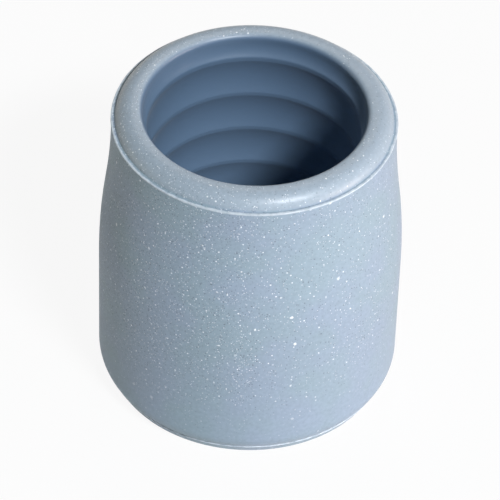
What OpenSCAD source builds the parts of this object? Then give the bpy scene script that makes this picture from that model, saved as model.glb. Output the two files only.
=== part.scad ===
// Rubber tip for the foot of a cane: one moulded cup, open at the top.
// The tube is pressed down into the ribbed socket and the flat sole stands on the ground.
// The origin is the centre of the sole, and +Z runs up the axis and out of the mouth.

/* [Socket] */
// Diameter of the tube that the socket grips, across the crests of the ribs
tube_d = 25.4; // [12:0.1:50]
// Depth of the socket from the crown of the lip to its floor
socket_depth = 30.7; // [22:0.1:60]
// Distance from one grip rib to the next
rib_pitch = 5.45; // [4:0.05:8]
// Depth from the crown of the lip to the middle of the first rib
first_rib = 3.3; // [2.8:0.1:6]
// Length of the flat along the crest of a rib
rib_land = 0.3; // [0.2:0.1:0.8]
// Radius that rounds a crest on both sides of its flat
rib_round = 0.6; // [0.3:0.05:1.2]
// Depth of the hollows between the ribs
rib_depth = 0.42; // [0.2:0.02:1]
// Radius between the wall and the floor of the socket
floor_round = 1.5; // [0.5:0.1:2.5]

/* [Body] */
// Thickness of rubber between the crests of the ribs and the straight lower side
wall = 5.65; // [5:0.05:9]
// Thickness of rubber between the socket floor and the sole
floor_t = 9.5; // [5:0.5:20]
// Height above the sole at which the side starts to draw in
straight_h = 17.8; // [7:0.2:20]
// Distance that the side draws in from there up to the rim
draw_in = 1.45; // [0.5:0.05:2]
// Radius of the lower corner of the body
corner_round = 3; // [1.5:0.1:6]

/* [Lip] */
// Height of the crown of the lip above the upper parting line
lip_h = 1.6; // [1:0.1:3]
// Width of the narrow ledge between the upper parting line and the foot of the lip
ledge = 0.5; // [0.2:0.05:0.8]
// Lean of the shoulder of the lip at its foot, in degrees
lip_lean = 15; // [0:1:30]
// Distance from the edge of the mouth out to the crown
crown_out = 1.15; // [0.8:0.05:1.4]
// Radius of the gentle bow of the lip between its crown and the mouth
crown_bow = 6; // [3:0.5:20]
// Radius of the edge of the mouth
mouth_round = 0.7; // [0.2:0.05:0.75]
// Distance that the mouth is wider than the ribs, all round
mouth_gap = 0.58; // [0.2:0.02:0.8]
// Height of the upright wall under the edge of the mouth
mouth_wall = 0.4; // [0.2:0.1:1.2]

/* [Sole] */
// Height of the lower parting line above the sole
sole_h = 1; // [0.6:0.1:2]
// Distance that the lower parting line lies in from the straight lower side
sole_in = 0.8; // [0.3:0.05:1.4]
// Distance that the sole draws in below the lower parting line
sole_draw = 0.5; // [0.1:0.05:1.5]

/* [Parting lines] */
// Thickness of the thin flash left at both parting lines
flash_t = 0.2; // [0.1:0.05:0.4]
// Distance that the flash stands out from the side
flash_out = 0.1; // [0.05:0.05:0.3]

/* [Hidden] */

$fn = 96;
arc_step = 7; // widest turn of one chord, in degrees
arc_chords = 6; // fewest chords in an arc

rib_r = tube_d / 2;
hollow_r = rib_r + rib_depth;
mouth_r = rib_r + mouth_gap;
crown_r = mouth_r + crown_out;
body_r = rib_r + wall;
rim_r = body_r - draw_in;
lip_r = rim_r + flash_out - ledge;
sole_line_r = body_r - sole_in;

tip_h = floor_t + socket_depth;
line_z = tip_h - lip_h;
corner_turn = acos(1 - sole_in / corner_round);
corner_z = sole_h + flash_t + corner_round * sin(corner_turn);

// The shoulder is part of an ellipse about the crown, cut off where it leans by lip_lean
shoulder_w = (lip_r - crown_r) / cos(lip_lean);
shoulder_h = lip_h / (1 - sin(lip_lean));

// The bow turns this far before it meets the round of the mouth, which ends upright at mouth_z
bow_turn = asin((crown_out - mouth_round) / (crown_bow - mouth_round));
mouth_z = tip_h - crown_bow + (crown_bow - mouth_round) * cos(bow_turn);

// As many ribs as leave the last one its whole half hollow above the rounded floor
rib_room = socket_depth - first_rib - floor_round;
rib_count = floor(rib_room / rib_pitch + 0.5);

// Points [r, z] of an arc about a centre, with its half-width, half-height and end angles
function arc(centre, w, h, from, to) =
    let (chords = max(arc_chords, ceil(abs(to - from) / arc_step)))
    [for (i = [0 : chords])
        let (turn = from + (to - from) * i / chords)
        centre + [w * cos(turn), h * sin(turn)]];

// Points of two arcs that swing the wall from p to q and leave it upright at both.
// The arc at p has the radius given, up to 0.8 of the whole swing, or else half of it.
function swing(p, q, p_round = undef) =
    let (
        across = q.x > p.x ? 1 : -1,
        up = q.y > p.y ? 1 : -1,
        lean = 2 * atan(abs(q.x - p.x) / abs(q.y - p.y)),
        both = abs(q.y - p.y) / sin(lean),
        p_arc = is_undef(p_round) ? both / 2 : min(p_round, 0.8 * both),
        q_arc = both - p_arc
    )
    concat(
        arc(p + [across * p_arc, 0], -across * p_arc, up * p_arc, 0, lean),
        arc(q - [across * q_arc, 0], across * q_arc, -up * q_arc, lean, 0)
    );

function backward(points) = [for (i = [len(points) - 1 : -1 : 0]) points[i]];

// Height of the middle of rib i, counted down from the mouth
function rib_z(i) = tip_h - first_rib - i * rib_pitch;

// The foot of the upright wall of the mouth, or the middle of the hollow above rib i
function wall_above(i) = i == 0
    ? [mouth_r, mouth_z - mouth_wall]
    : [hollow_r, rib_z(i) + rib_pitch / 2];

// Up from the flat of rib i to the wall above it
function above_rib(i) = swing([rib_r, rib_z(i) + rib_land / 2], wall_above(i), rib_round);

// Down from the flat of rib i to the middle of the hollow below it
function below_rib(i) = swing(
    [rib_r, rib_z(i) - rib_land / 2],
    [hollow_r, rib_z(i) - rib_pitch / 2],
    rib_round
);

function rib(i) = concat(backward(above_rib(i)), below_rib(i));

// Sole, lower parting line and the side up to the upper parting line
side_outline = concat(
    [
        [0, 0],
        [sole_line_r - sole_draw, 0],
        [sole_line_r, sole_h],
        [sole_line_r + flash_out, sole_h],
        [sole_line_r + flash_out, sole_h + flash_t]
    ],
    arc([body_r - corner_round, corner_z], corner_round, corner_round, -corner_turn, 0),
    swing([body_r, straight_h], [rim_r, line_z - flash_t]),
    [
        [rim_r + flash_out, line_z - flash_t],
        [rim_r + flash_out, line_z]
    ]
);

// The lip: a round shoulder outside, a gentle bow on top and a round into the mouth
lip_outline = concat(
    arc([crown_r, tip_h - shoulder_h], shoulder_w, shoulder_h, lip_lean, 90),
    arc([crown_r, tip_h - crown_bow], crown_bow, crown_bow, 90, 90 + bow_turn),
    arc([mouth_r + mouth_round, mouth_z], mouth_round, mouth_round, 90 + bow_turn, 180)
);

// The ribbed wall and the floor of the socket
socket_outline = concat(
    [for (i = [0 : rib_count - 1]) each rib(i)],
    arc([hollow_r - floor_round, floor_t + floor_round], floor_round, floor_round, 0, -90),
    [[0, floor_t]]
);

module cane_tip() {
    color([0.57, 0.63, 0.69])
        rotate_extrude()
            polygon(concat(side_outline, lip_outline, socket_outline));
}

cane_tip();
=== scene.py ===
# %% [markdown]
# # A rubber cane tip
# The foot of a walking cane wears a thick rubber cup. The tube of the cane is pressed down
# into its ribbed socket, and the flat sole grips the ground. It is one moulded piece, so
# this lesson makes one mesh: a section is drawn with a pencil made of bmesh operators,
# turned once round the axis, and then given the small faults that moulding leaves.
# The rubber is blue-grey with a scatter of pale specks in its outer skin.

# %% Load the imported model
import math

import bmesh
import bpy
from mathutils import Matrix, Vector, noise


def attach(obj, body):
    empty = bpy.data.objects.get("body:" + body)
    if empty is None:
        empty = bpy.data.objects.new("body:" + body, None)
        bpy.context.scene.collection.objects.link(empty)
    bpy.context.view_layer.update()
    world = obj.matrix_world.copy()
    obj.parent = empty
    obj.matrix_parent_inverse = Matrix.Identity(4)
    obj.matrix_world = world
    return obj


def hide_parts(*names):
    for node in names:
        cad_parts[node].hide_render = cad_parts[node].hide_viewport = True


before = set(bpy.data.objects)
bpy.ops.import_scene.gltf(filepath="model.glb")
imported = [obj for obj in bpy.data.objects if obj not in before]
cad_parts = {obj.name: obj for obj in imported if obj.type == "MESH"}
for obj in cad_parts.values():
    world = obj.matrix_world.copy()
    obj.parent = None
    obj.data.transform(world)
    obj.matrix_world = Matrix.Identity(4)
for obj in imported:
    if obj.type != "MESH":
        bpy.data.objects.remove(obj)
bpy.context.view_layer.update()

mm = 0.001  # every Blender length is in metres

# %% [markdown]
# ## Main sizes
# The tip is a turned shape, so each size is a radius or a height, in millimetres. A maker
# starts from the tube, because the tip has to fit it: the ribs touch the tube, the wall
# stands around them, and the socket floor carries the tube's end. Each later step adds the
# sizes that it needs. What follows from a size is worked out and not written again, so that
# a change to one size moves all that depends on it.

# %% Socket and body
rib_r = 12.7          # the tube touches the crests of the ribs
socket_depth = 30.7
wall = 5.65
floor_t = 9.5         # rubber between the socket floor and the sole
draw_in = 1.45        # how far the side leans in by the time it reaches the rim

body_r = rib_r + wall
rim_r = body_r - draw_in
tip_h = floor_t + socket_depth
print("body", 2 * body_r, "mm across and", tip_h, "mm tall")

# %% [markdown]
# ## Parting lines
# The mould opens in three parts, and where two of them meet, a thin line runs round the
# rubber: one low down near the sole, and one at the foot of the lip. The side lies between
# these two heights, so they are settled before anything is drawn.

# %% Heights of the two lines
sole_h = 1.0          # from the sole up to the lower line
sole_in = 0.8         # from the widest radius in to the lower line
lip_h = 1.6           # from the upper line up to the crown of the lip
flash_t = 0.2         # thickness of the rubber that squeezed out between the mould parts
flash_out = 0.1

line_z = tip_h - lip_h
sole_line_r = body_r - sole_in
print("parting lines at", sole_h, "and", line_z, "mm above the sole")

# %% [markdown]
# ## A pencil that draws sections
# A turned shape needs only half of its section. Bmesh can draw that line by itself:
# `extrude_vert_indiv` pulls one vertex along to make an edge, and `spin` on one vertex
# leaves a chain of edges along an arc. A list of typed coordinates would do the same, but
# strokes say how the shape is made and follow when a size changes. The pencil keeps the
# last vertex as its tip, so that each stroke starts where the one before ended. An arc can
# be stretched into part of an ellipse, which is how the outside of the lip gets steeper
# toward its foot.

# %% The pencil
fewest_chords = 5     # in an arc, however short


class Pencil:
    """Draws half a section in the XZ plane, with the radius along X."""

    def __init__(self, r, z):
        self.mesh = bmesh.new()
        self.tip = self.mesh.verts.new((r, 0, z))

    def line_to(self, r, z, steps=1):
        start = self.tip.co.copy()
        for step in range(steps):
            made = bmesh.ops.extrude_vert_indiv(self.mesh, verts=[self.tip])
            self.tip = made["verts"][0]
            self.tip.co = start.lerp(Vector((r, 0, z)), (step + 1) / steps)

    def arc(self, r, z, degrees, step=5, wide=1, high=1):
        """Turn the tip about a centre; a positive turn is counter-clockwise."""
        centre = Vector((r, 0, z))
        chords = max(fewest_chords, math.ceil(abs(degrees) / step))
        before = set(self.mesh.verts)
        made = bmesh.ops.spin(
            self.mesh, geom=[self.tip], cent=centre, axis=(0, -1, 0),
            angle=math.radians(degrees), steps=chords, use_duplicate=False)
        drawn = [v for v in self.mesh.verts if v not in before]
        bmesh.ops.scale(
            self.mesh, verts=drawn, vec=(wide, 1, high), space=Matrix.Translation(-centre))
        self.tip = next(g for g in made["geom_last"] if isinstance(g, bmesh.types.BMVert))

    def swing_to(self, r, z, first_arc=None, last_arc=None):
        """Two arcs that leave upright and arrive upright, to a point further in or out.

        They are equal unless the radius of one of them is given.
        """
        start = self.tip.co.copy()
        across, up = r - start.x, z - start.z
        lean = 2 * math.degrees(math.atan(abs(across / up)))
        both = abs(up) / math.sin(math.radians(lean))
        if last_arc:
            first_arc = both - last_arc
        first = first_arc or both / 2
        last = both - first
        side = math.copysign(1, across)
        turn = math.copysign(lean, -across * up)
        self.arc(start.x + side * first, start.z, turn, step=3)
        self.arc(r - side * last, z, -turn, step=3)


pen = Pencil(0, 0)
print("the pencil stands at the centre of the sole")

# %% [markdown]
# ## Sole and side
# The sole is flat, with a small round at its edge, and its edge leans out to the lower
# parting line. There a thin bead of rubber squeezed out of the mould: the flash. It is
# drawn as half an ellipse, as thick as the gap and as wide as it stands out. Above it a
# round corner leads into the straight side, which later draws in toward the rim on two
# long arcs.

# %% Draw the sole and the lower flash
sole_draw = 0.5       # how far the edge of the sole leans out
edge_round = 0.12     # the small rounds that a mould leaves in its corners


def draw_flash(pencil, r, z):
    """A half-round bead that stands out from the side, from z up by its thickness."""
    pencil.line_to(r, z)
    pencil.arc(r, z + flash_t / 2, 180, step=20, wide=flash_out / (flash_t / 2))


sole_lean = math.degrees(math.atan(sole_draw / sole_h))
sole_edge_r = sole_line_r - sole_draw
edge_turn = 90 - sole_lean
edge_cut = edge_round * math.tan(math.radians(edge_turn / 2))

pen.line_to(sole_edge_r - edge_cut, 0, steps=6)
pen.arc(sole_edge_r - edge_cut, edge_round, edge_turn, step=15)
draw_flash(pen, sole_line_r, sole_h)
print("sole", round(2 * sole_edge_r, 2), "mm across, edge at", round(sole_lean, 1), "degrees")

# %% Draw the corner and the side
corner_round = 3.0
straight_h = 17.8     # where the side starts to draw in

corner_turn = math.degrees(math.acos(1 - sole_in / corner_round))
corner_z = sole_h + flash_t + corner_round * math.sin(math.radians(corner_turn))
pen.arc(body_r - corner_round, corner_z, corner_turn)
pen.line_to(body_r, straight_h, steps=12)
pen.swing_to(rim_r, line_z - flash_t)
print("side drawn up to", round(pen.tip.co.z, 2), "mm")

# %% [markdown]
# ## Lip
# The upper parting line runs round the foot of the lip, with a narrow ledge between the
# two. The lip has a round shoulder that leans in at its foot, a gently bowed top, and a
# round where it turns down into the mouth. The shoulder is part of an ellipse about the
# crown, and starts from where the small round at its foot ends. The bow and the round of
# the mouth are arcs that touch without a corner, so the angle where they meet follows from
# their two radii.

# %% Sizes of the lip
ledge = 0.5           # between the parting line and the foot of the lip
lip_lean = 15         # degrees in from upright, at the foot
crown_out = 1.15      # from the edge of the mouth out to the highest ring
crown_bow = 6.0
mouth_round = 0.7
mouth_gap = 0.58      # how much wider the mouth is than the ribs, all round

lip_r = rim_r + flash_out - ledge
mouth_r = rib_r + mouth_gap
crown_r = mouth_r + crown_out
print("mouth", round(2 * mouth_r, 2), "mm wide, lip", round(lip_r - mouth_r, 2), "mm thick")

# %% Draw the upper flash, the ledge and the shoulder
draw_flash(pen, rim_r, line_z - flash_t)
foot_turn = 90 - lip_lean
foot_cut = edge_round * math.tan(math.radians(foot_turn / 2))
pen.line_to(lip_r + foot_cut, line_z, steps=2)
pen.arc(lip_r + foot_cut, line_z + edge_round, -foot_turn, step=20)

shoulder_h = lip_h / (1 - math.sin(math.radians(lip_lean)))
out = pen.tip.co.x - crown_r
up = pen.tip.co.z - (tip_h - shoulder_h)
shoulder_turn = math.degrees(math.atan2(out, up))
pen.arc(crown_r, tip_h - shoulder_h, shoulder_turn, high=shoulder_h / math.hypot(out, up))
print("shoulder turns", round(shoulder_turn, 1), "degrees up to the crown")

# %% Draw the top and the round of the mouth
inner_bow = crown_bow - mouth_round
bow_turn = math.degrees(math.asin((crown_out - mouth_round) / inner_bow))
mouth_z = tip_h - crown_bow + inner_bow * math.cos(math.radians(bow_turn))
pen.arc(crown_r, tip_h - crown_bow, bow_turn)
pen.arc(mouth_r + mouth_round, mouth_z, 90 - bow_turn, step=7)
print("mouth starts down", round(tip_h - mouth_z, 2), "mm below the crown")

# %% [markdown]
# ## Socket
# Under its edge the mouth has a short upright wall. Below that, shallow hollows leave five
# ring ribs that grip the tube. Each hollow is made of long arcs and each crest of short
# ones, so a loop can draw a rib at a time: swing in to the crest, run down its narrow flat,
# and swing out again to the middle of the next hollow.

# %% Draw the ribs and the socket floor
mouth_wall = 0.4
first_rib = 3.3       # from the crown down to the middle of the first rib
rib_pitch = 5.45
rib_count = 5
rib_land = 0.3        # the flat along a crest
rib_round = 0.6
rib_depth = 0.42
floor_round = 1.5
hollow_r = rib_r + rib_depth

pen.line_to(mouth_r, mouth_z - mouth_wall)
for i in range(rib_count):
    rib_z = tip_h - first_rib - i * rib_pitch
    pen.swing_to(rib_r, rib_z + rib_land / 2, last_arc=rib_round)
    pen.line_to(rib_r, rib_z - rib_land / 2)
    pen.swing_to(hollow_r, rib_z - rib_pitch / 2, first_arc=rib_round)
pen.line_to(hollow_r, floor_t + floor_round)
pen.arc(hollow_r - floor_round, floor_t + floor_round, -90, step=9)
pen.line_to(0, floor_t, steps=4)
print("section of", len(pen.mesh.verts), "points")

# %% [markdown]
# ## Turn the section
# `spin` carries the line once round the axis. With `use_merge` the last copy meets the
# first, and `remove_doubles` closes the two poles, where all copies of a point on the axis
# lie in one place. Only then are the normals worked out, because a skin that isn't closed
# has no inside.

# %% Spin, close and turn the faces outwards
sectors = 320
same_place = 1e-4     # mm
cup = pen.mesh
bmesh.ops.spin(
    cup, geom=list(cup.verts) + list(cup.edges), cent=(0, 0, 0), axis=(0, 0, 1),
    angle=2 * math.pi, steps=sectors, use_merge=True, use_duplicate=False)
bmesh.ops.remove_doubles(cup, verts=cup.verts, dist=same_place)
bmesh.ops.recalc_face_normals(cup, faces=cup.faces)
open_edges = [e for e in cup.edges if not e.is_manifold]
print(len(cup.faces), "faces and", len(open_edges), "open edges")
print("volume", round(cup.calc_volume()), "mm3")

# %% [markdown]
# ## Uneven flash
# Flash is trimmed by hand, so its edge wanders: here it stands proud, there it is cut
# short. Smooth noise, read along a circle so that it closes on itself, moves the vertices
# of the two beads in. A finer noise adds the nicks. The beads are only ever cut back, so
# that the tip never grows past the size it was drawn to.

# %% Noise along a ring
def around(co, size, seed):
    """Smooth noise from -1 to 1 along the ring, with waves about as long as size, in mm."""
    flat = Vector((co.x, co.y, 0))
    return noise.noise(flat / size + Vector((0, 0, seed)))


print("noise at three places:", [round(around(Vector((x, 0, 0)), 5, 1), 2) for x in (1, 3, 7)])

# %% Let the flash wander
wave = 5              # lengths along the ring, in mm
ripple = 1.6
nick_wave = 0.9
mean_cut = 0.25       # share of the bead that is trimmed off on average
nick_rarity = 0.25    # the noise has to fall below minus this to make a nick
deepest = 0.8         # largest share of the bead that goes
root_part = 0.2       # share of the bead next to the side, which stays
near = 0.01           # mm


def trim_flash(mesh, r, bottom, seed):
    """Cut back the bead that starts at a height, and count the vertices that it has."""
    moved = 0
    for v in mesh.verts:
        out = Vector((v.co.x, v.co.y, 0))
        proud = (out.length - r) / flash_out
        on_bead = bottom - near < v.co.z < bottom + flash_t + near
        if not (on_bead and proud > root_part):
            continue
        wander = 0.35 * around(v.co, wave, seed) + 0.3 * around(v.co, ripple, seed + 9)
        nick = min(0, around(v.co, nick_wave, seed + 20) + nick_rarity)
        shift = max(-deepest, min(0, wander - mean_cut + nick)) * proud * flash_out
        v.co += out.normalized() * shift
        moved += 1
    return moved


print("lower bead:", trim_flash(cup, sole_line_r, sole_h, seed=1), "vertices moved")
print("upper bead:", trim_flash(cup, rim_r, line_z - flash_t, seed=2), "vertices moved")

# %% [markdown]
# ## Make the piece
# The mesh has been drawn in millimetres, and one scale brings it into metres. The faces
# are shaded smooth, and only true corners, such as the edge of the ledge, stay sharp. The
# piece rides on the tip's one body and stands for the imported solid, which is hidden.

# %% From bmesh to object
true_corner = 38      # degrees
bmesh.ops.scale(cup, verts=cup.verts, vec=(mm, mm, mm))
tip_mesh = bpy.data.meshes.new("cane_tip_rubber")
cup.to_mesh(tip_mesh)
cup.free()
tip_mesh.shade_smooth()
tip_mesh.set_sharp_from_angle(angle=math.radians(true_corner))
tip = bpy.data.objects.new("cane_tip_rubber", tip_mesh)
bpy.context.scene.collection.objects.link(tip)
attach(tip, "root")
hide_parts("cane_tip")
print("made", tip.name, "with", len(tip_mesh.polygons), "faces")

# %% [markdown]
# ## Wiring nodes
# Materials are graphs, and a few short helpers keep them readable: one adds a node and
# feeds its inputs with plain values or with the outputs of other nodes, and the others
# return the output of the nodes that are used most.

# %% Helpers for node trees
def add(tree, kind, feeds=None, **options):
    made = tree.nodes.new(kind)
    for name, value in options.items():
        setattr(made, name, value)
    for key, value in (feeds or {}).items():
        if isinstance(value, bpy.types.NodeSocket):
            tree.links.new(value, made.inputs[key])
        else:
            made.inputs[key].default_value = value
    return made


def calc(tree, operation, a, b=0.0):
    return add(tree, "ShaderNodeMath", {0: a, 1: b}, operation=operation).outputs[0]


def fade(tree, value, start, stop):
    """0 at start and 1 at stop, with a soft step between; either may be the larger."""
    feeds = {"Value": value, "From Min": start, "From Max": stop}
    return add(tree, "ShaderNodeMapRange", feeds, interpolation_type="SMOOTHSTEP").outputs[0]


def scaled(tree, value, low, high):
    """Stretch a value between 0 and 1 to the range from low to high."""
    feeds = {"Value": value, "To Min": low, "To Max": high}
    return add(tree, "ShaderNodeMapRange", feeds).outputs[0]


def blend(tree, share, a, b, how="MIX"):
    """Mix two colours; 6, 7 and 2 are the node's sockets for colours."""
    feeds = {"Factor": share, 6: a, 7: b}
    return add(tree, "ShaderNodeMix", feeds, data_type="RGBA", blend_type=how).outputs[2]


def new_group(name, inputs, outputs):
    """A node group with its sockets, given as names and kinds."""
    tree = bpy.data.node_groups.new(name, "ShaderNodeTree")
    for label, kind in inputs.items():
        tree.interface.new_socket(label, in_out="INPUT", socket_type="NodeSocket" + kind)
    for label, kind in outputs.items():
        tree.interface.new_socket(label, in_out="OUTPUT", socket_type="NodeSocket" + kind)
    return tree, add(tree, "NodeGroupInput").outputs, add(tree, "NodeGroupOutput").inputs


print("helpers ready")

# %% [markdown]
# ## Specks
# The rubber holds chips of pale filler, cut through by the skin at random. A Voronoi
# texture scatters one point in each cell of space, and the distance to it makes a small
# ball. Each cell also has its own random colour: one channel decides whether it holds a
# chip at all, the next how big it is, and the last how far it shows through the skin. A
# little noise in the coordinates makes the chips uneven. A painted texture would fix the
# chips to one size of picture, while this group can be placed several times, from dust up
# to the few big chips, and once more for dark pores.

# %% A group for one size of speck
specks, given, result = new_group(
    "pale_specks",
    {"Place": "Vector", "Spacing": "Float", "Radius": "Float", "Share": "Float", "Rough": "Float"},
    {"Mask": "Float"})
ragged = add(specks, "ShaderNodeTexNoise", {"Vector": given["Place"], "Scale": 4.0, "Detail": 1.0})
push = add(specks, "ShaderNodeVectorMath", {0: ragged.outputs["Color"], 1: (0.5, 0.5, 0.5)},
           operation="SUBTRACT")
pushed = add(specks, "ShaderNodeVectorMath", {0: push.outputs[0], "Scale": given["Rough"]},
             operation="SCALE")
shaken = add(specks, "ShaderNodeVectorMath", {0: given["Place"], 1: pushed.outputs[0]},
             operation="ADD")
cells = add(specks, "ShaderNodeTexVoronoi", {
    "Vector": shaken.outputs[0], "Scale": calc(specks, "DIVIDE", 1.0, given["Spacing"])})
chance = add(specks, "ShaderNodeSeparateColor", {0: cells.outputs["Color"]})
present = calc(specks, "LESS_THAN", chance.outputs[0], given["Share"])
size = calc(specks, "MULTIPLY", given["Radius"], scaled(specks, chance.outputs[1], 0.5, 1.3))
away = calc(specks, "MULTIPLY", cells.outputs["Distance"], given["Spacing"])
ball = fade(specks, calc(specks, "DIVIDE", away, size), 1.15, 0.6)
shown = calc(specks, "MULTIPLY", present, scaled(specks, chance.outputs[2], 0.5, 1.1))
specks.links.new(calc(specks, "MULTIPLY", ball, shown), result["Mask"])
print("group", specks.name, "has", len(specks.nodes), "nodes")

# %% [markdown]
# ## Rubber
# The outer skin is a satin blue-grey with a fine grain. Five things vary over it: the specks, a
# soft drift of the colour between bluer and greener, the lip, which is smoother and painted a
# little paler for the extra light that its top catches from above, the trimmed flash, which shows
# paler torn rubber and is painted brighter still for the glint that its thin bead catches, and the
# socket, where the skin against the steel core stays smooth and holds no specks, and which is
# painted dark and blue as shade. All of them read Object coordinates, turned into millimetres by a
# Mapping node. They need no unwrapping, and stay the same size when the shape changes. The
# distance from the axis is the length of the same coordinates with the height left out.

# %% Where a point lies on the tip
rubber = bpy.data.materials.new("rubber")
rubber.use_nodes = True
tree = rubber.node_tree
skin = tree.nodes["Principled BSDF"]


def measured(z_scale):
    """Object coordinates in millimetres, with the height kept or left out."""
    coordinates = add(tree, "ShaderNodeTexCoord").outputs["Object"]
    feeds = {"Vector": coordinates, "Scale": (1 / mm, 1 / mm, z_scale)}
    return add(tree, "ShaderNodeMapping", feeds).outputs[0]


def mottle(scale, detail):
    """Soft noise over the tip, in patches about 1 / scale mm wide."""
    feeds = {"Vector": place, "Scale": scale, "Detail": detail}
    return add(tree, "ShaderNodeTexNoise", feeds).outputs[0]


place = measured(1 / mm)
radius = add(tree, "ShaderNodeVectorMath", {0: measured(0)}, operation="LENGTH").outputs["Value"]
parted = add(tree, "ShaderNodeSeparateXYZ", {0: place}).outputs
height = parted["Z"]
print("a point is known by its height and its distance from the axis")

# %% [markdown]
# The socket's mask ends on the round of the mouth, so it fades out over that round; it carries the
# socket's painted shade, its smoothness and its lack of specks. It starts below the socket floor,
# so that the floor is covered too. The lip's mask starts at the parting line.

# %% Masks of the socket and the lip
socket_mask_r = 13.3
socket_mask_fade = 0.45
above_floor = calc(tree, "GREATER_THAN", height, floor_t - 0.5)
inside = fade(tree, radius, socket_mask_r + socket_mask_fade, socket_mask_r)
inside = calc(tree, "MULTIPLY", inside, above_floor)
on_lip = fade(tree, height, line_z, line_z + 0.3)
print("socket skin inside", socket_mask_r, "mm, lip above", line_z, "mm")

# %% [markdown]
# A mask on a parting line is a box drawn in height and distance from the axis, with soft edges.
# The torn rubber is patchy, so noise moves the box in and out and sets how much of the line is
# worn pale; the same pale coat is also a painted glint, for the light that the thin bead catches.
# A wider box round the upper line, used below, holds crumbs of filler.

# %% Mask of the two flash lines
patchy = mottle(1.2, 3.0)
cut_radius = calc(tree, "ADD", radius, scaled(tree, patchy, -0.12, 0.12))


def near_line(z, r, spread=0.0):
    """1 on the flash that starts at height z, and out beyond radius r."""
    up = fade(tree, height, z - 0.1 - spread, z - 0.02 - spread)
    down = fade(tree, height, z + flash_t + 0.07 + spread, z + flash_t + 0.01)
    out = fade(tree, cut_radius, r - 0.08 - spread, r + 0.06)
    return calc(tree, "MULTIPLY", calc(tree, "MULTIPLY", up, down), out)


upper_line = near_line(line_z - flash_t, rim_r - 0.16)
lower_line = near_line(sole_h, sole_line_r + 0.02)
patches = scaled(tree, fade(tree, patchy, 0.3, 0.7), 0.6, 1.15)
# The worn line is pale torn rubber and also a painted glint of the thin flash bead.
line_wear_and_glint = calc(tree, "MULTIPLY", calc(tree, "MAXIMUM", upper_line, lower_line), patches)
print("lines", round(2 * rim_r, 2), "and", round(2 * sole_line_r, 2), "mm across")

# %% [markdown]
# Filler doesn't spread evenly: it is sparse near the sole, crowded on one side of the tip
# and patchy everywhere. These make one value, the crowd, which sets the share of the cells
# that hold a speck.

# %% How crowded the specks are
low_down = fade(tree, height, 2.0, 17.0)
to_one_side = fade(tree, parted["X"], 8.0, -18.0)
crowd = scaled(tree, mottle(0.35, 2.0), 0.2, 1.4)
crowd = calc(tree, "MULTIPLY", crowd, scaled(tree, low_down, 0.15, 1.0))
crowd = calc(tree, "MULTIPLY", crowd, scaled(tree, to_one_side, 0.5, 2.7))
outside = calc(tree, "SUBTRACT", 1.0, inside)
seen = calc(tree, "MULTIPLY", outside, scaled(tree, low_down, 0.3, 1.0))
print("specks thin out below 17 mm")

# %% [markdown]
# Each size of speck is the same group with other values, in millimetres. The flakes lie at
# a slant, because a Mapping node turns and stretches the coordinates that they read.
# Lumps are crumbs caught on the upper parting line.

# %% Chips, dust and pores
def speck(spacing, radius, share, rough, at=place):
    feeds = {"Place": at, "Spacing": spacing, "Radius": radius, "Share": share, "Rough": rough}
    return add(tree, "ShaderNodeGroup", feeds, node_tree=specks).outputs[0]


slant = add(tree, "ShaderNodeMapping", {
    "Vector": place, "Rotation": (0.5, 0.4, 0.3), "Scale": (1.0, 1.0, 0.36)}).outputs[0]

dust = calc(tree, "MULTIPLY", speck(0.29, 0.06, crowd, 0.03), 0.8)
chips = calc(tree, "MAXIMUM", speck(0.6, 0.098, crowd, 0.08), dust)
flakes = calc(tree, "MAXIMUM", speck(2.4, 0.21, 0.45, 0.25), speck(1.2, 0.085, 0.3, 0.1, slant))
beside_line = near_line(line_z - flash_t, rim_r, 0.14)
lumps = calc(tree, "MULTIPLY", speck(0.75, 0.17, 0.5, 0.3), beside_line)
pale = calc(tree, "MULTIPLY", calc(tree, "MAXIMUM", chips, flakes), seen)
pale = calc(tree, "MAXIMUM", pale, lumps)
pores = calc(tree, "MULTIPLY", speck(0.31, 0.085, crowd, 0.05), seen)
print("specks in", len([n for n in tree.nodes if n.type == "GROUP"]), "sizes")

# %% [markdown]
# The colour is laid on like paint, one coat over another: the drifting base, the lip's painted
# light, the pores, the specks, the torn lines with their painted glint, and a fine grain that
# makes it lighter and darker. The socket's painted shade comes last, since none of them reach it.

# %% Colour
greener = (0.28, 0.375, 0.45, 1)
bluer = (0.29, 0.37, 0.475, 1)
# The lip colour is painted light: a paler coat that stands for the extra light the lip's top
# catches from above.
lip_painted_light_colour = (0.33, 0.41, 0.49, 1)
pore_colour = (0.13, 0.17, 0.21, 1)
filler_colour = (0.85, 0.90, 0.94, 1)
# The torn colour is partly painted highlight: pale torn rubber, made brighter for the glint on the
# thin bead.
torn_and_glint_colour = (0.60, 0.68, 0.75, 1)
# The socket colour is painted shade: darker and bluer than the rubber, so that the hollow stays
# dark.
socket_painted_shade_colour = (0.112, 0.18, 0.277, 1)

drift = fade(tree, mottle(0.12, 2.0), 0.35, 0.65)
grain = mottle(2.2, 3.0)
pore_depth = calc(tree, "MULTIPLY", pores, scaled(tree, on_lip, 0.8, 0.4))
shade = scaled(tree, grain, 0.85, 1.15)
greys = add(tree, "ShaderNodeCombineColor", {0: shade, 1: shade, 2: shade}).outputs[0]

outer = blend(tree, drift, greener, bluer)
# The lip gets its painted light, a paler coat.
outer = blend(tree, on_lip, outer, lip_painted_light_colour)
outer = blend(tree, pore_depth, outer, pore_colour)
outer = blend(tree, pale, outer, filler_colour)
outer = blend(tree, line_wear_and_glint, outer, torn_and_glint_colour)
outer = blend(tree, 1.0, outer, greys, how="MULTIPLY")
# The socket is covered with its painted shade.
tree.links.new(blend(tree, inside, outer, socket_painted_shade_colour), skin.inputs["Base Color"])
print("colour wired")

# %% [markdown]
# Rubber from a clean mould is satin: its roughness drifts a little, and the lip and the
# socket are smoother than the side. Where these two meet, on the round of the mouth, the
# larger smoothing holds and not their sum, so no bright ring shows there. A weak sheen
# stands for the fine dust on the skin.

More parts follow.
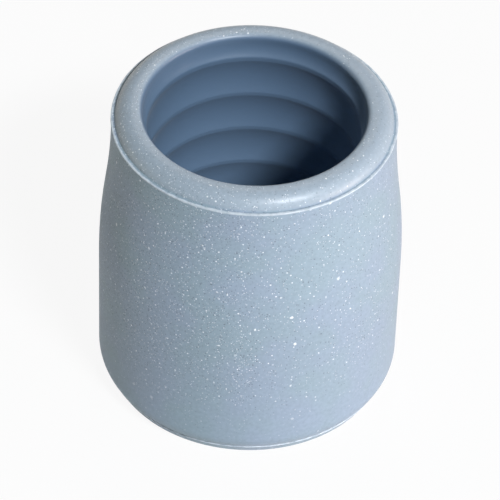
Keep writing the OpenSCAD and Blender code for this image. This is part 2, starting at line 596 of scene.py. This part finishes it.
# %% Gloss
side_rough = scaled(tree, mottle(0.5, 4.0), 0.58, 0.70)
lip_smooth = calc(tree, "MULTIPLY", on_lip, 0.26)
socket_smooth = calc(tree, "MULTIPLY", inside, 0.22)
smooth = calc(tree, "MAXIMUM", lip_smooth, socket_smooth)
tree.links.new(calc(tree, "SUBTRACT", side_rough, smooth), skin.inputs["Roughness"])
skin.inputs["Specular IOR Level"].default_value = 0.5
skin.inputs["Sheen Weight"].default_value = 0.1
skin.inputs["Sheen Roughness"].default_value = 0.4
skin.inputs["Sheen Tint"].default_value = (1.0, 0.95, 0.84, 1)
print("roughness and sheen set")

# %% [markdown]
# Chips stand a few hundredths of a millimetre proud, pores sink as deep, and the grain is
# half of that. Nothing of this size changes the outline, so it is bump and not mesh.

# %% Relief
speck_relief = calc(tree, "SUBTRACT", pale, pores)
relief = calc(tree, "ADD", speck_relief, calc(tree, "MULTIPLY", grain, 0.5))
bump = add(tree, "ShaderNodeBump", {"Height": relief, "Strength": 0.6, "Distance": 0.04 * mm})
tree.links.new(bump.outputs[0], skin.inputs["Normal"])
tip_mesh.materials.append(rubber)
print("rubber has", len(tree.nodes), "nodes")

# %% [markdown]
# ## Floor
# The tip stands on plain white card that fills the view. To the camera the card mostly
# glows at exactly white, so the background stays clean, and the rest of it takes light
# and shadow as card does. Reflections see the same white, and the light that the card
# throws up on the rubber comes from its own colour. A card that glowed for every ray would
# light the tip from below and wash out the shadow.

# %% White card
card_half = 1.5       # metres
card = bmesh.new()
bmesh.ops.create_grid(card, x_segments=1, y_segments=1, size=card_half)
floor_mesh = bpy.data.meshes.new("floor")
card.to_mesh(floor_mesh)
card.free()
floor = bpy.data.objects.new("floor", floor_mesh)
bpy.context.scene.collection.objects.link(floor)
print("floor is", 2 * card_half, "m wide")

# %% Paper that glows for the camera
glow_share = 0.92


def seen_directly(tree):
    """1 where a ray comes from the camera or from a shiny or clear surface."""
    path = add(tree, "ShaderNodeLightPath").outputs
    shiny = calc(tree, "MAXIMUM", path["Is Glossy Ray"], path["Is Transmission Ray"])
    return calc(tree, "MAXIMUM", path["Is Camera Ray"], shiny)


paper = bpy.data.materials.new("card")
paper.use_nodes = True
tree = paper.node_tree
lit = tree.nodes["Principled BSDF"]
lit.inputs["Base Color"].default_value = (0.8, 0.8, 0.8, 1)
lit.inputs["Roughness"].default_value = 1.0
glow = add(tree, "ShaderNodeEmission", {"Color": (1, 1, 1, 1), "Strength": 1.0})
share = calc(tree, "MULTIPLY", seen_directly(tree), glow_share)
mix = add(tree, "ShaderNodeMixShader", {0: share, 1: lit.outputs[0], 2: glow.outputs[0]})
tree.links.new(mix.outputs[0], tree.nodes["Material Output"].inputs[0])
floor_mesh.materials.append(paper)
print("card glows by", glow_share, "and is lit for the rest")

# %% [markdown]
# ## Light
# A white room wraps the tip in faint light, and the camera sees it as pure white. Most of
# the light comes from a small key lamp, high and a little to the right of the camera, which
# throws the shadow of the lip across the ribs. A warm strip on the right lifts the side of
# the tip, and stands so low that it hardly shines into the socket. A weak lamp behind
# brings out the far lip, and a fainter strip on the left keeps that edge from going dark.

# %% Room
faint_light = 0.005
world = bpy.data.worlds.new("room")
bpy.context.scene.world = world
world.use_nodes = True
tree = world.node_tree
faint = tree.nodes["Background"]
faint.inputs["Color"].default_value = (1.0, 1.0, 1.0, 1)
faint.inputs["Strength"].default_value = faint_light
white = add(tree, "ShaderNodeBackground", {"Color": (1, 1, 1, 1), "Strength": 1.0})
choice = {0: seen_directly(tree), 1: faint.outputs[0], 2: white.outputs[0]}
mix = add(tree, "ShaderNodeMixShader", choice)
tree.links.new(mix.outputs[0], tree.nodes["World Output"].inputs[0])
print("room light", faint_light)

# %% Lamps
def lamp(name, azimuth, height, wide, tall, watts, colour):
    """An oval lamp, a metre from the tip, placed by two angles and turned toward it.

    The azimuth is counted from +X toward +Y, and the height from the floor, in degrees.
    """
    data = bpy.data.lights.new(name, "AREA")
    data.shape = "ELLIPSE"
    data.size = wide
    data.size_y = tall
    data.energy = watts
    data.color = colour
    made = bpy.data.objects.new(name, data)
    a, h = math.radians(azimuth), math.radians(height)
    way = Vector((math.cos(a) * math.cos(h), math.sin(a) * math.cos(h), math.sin(h)))
    made.location = Vector((0, 0, tip_h * mm / 2)) + way
    made.rotation_euler = (-way).to_track_quat("-Z", "Y").to_euler()
    bpy.context.scene.collection.objects.link(made)
    print(name, "lamp at", [round(c, 2) for c in made.location])


lamp("key", -58, 45.5, 0.28, 0.14, 10.1, (0.94, 0.97, 1.0))
lamp("side", -17, 4.5, 0.6, 0.15, 5.7, (1.0, 0.82, 0.74))
lamp("back", 85, 48, 0.3, 0.3, 1.1, (1.0, 0.93, 0.87))
lamp("left", 175, 4.5, 0.6, 0.15, 0.65, (1.0, 0.84, 0.35))

# %% [markdown]
# ## Camera
# The camera looks down at about 43 degrees from almost half a metre away, through a long
# lens, so the mouth opens to a wide ellipse and the far ribs show. It leans two degrees, as
# a hand-held camera does.

# %% Camera
camera_height = 42.87  # degrees above the floor
camera_far = 473.5 * mm
camera_lean = 1.95     # degrees
aim_point = Vector((0, 0, 17.34 * mm))

lens = bpy.data.cameras.new("camera")
lens.lens = 280.4      # focal length and sensor, in mm
lens.sensor_width = 36
lens.clip_start = 0.05
camera = bpy.data.objects.new("camera", lens)
bpy.context.scene.collection.objects.link(camera)
bpy.context.scene.camera = camera
h = math.radians(camera_height)
back = Vector((0, -math.cos(h), math.sin(h)))
camera.location = aim_point + back * camera_far
aim = (-back).to_track_quat("-Z", "Y").to_matrix().to_4x4()
camera.rotation_euler = (aim @ Matrix.Rotation(math.radians(camera_lean), 4, "Z")).to_euler()
bpy.context.scene.view_settings.view_transform = "Standard"
print("camera at", [round(c, 3) for c in camera.location])
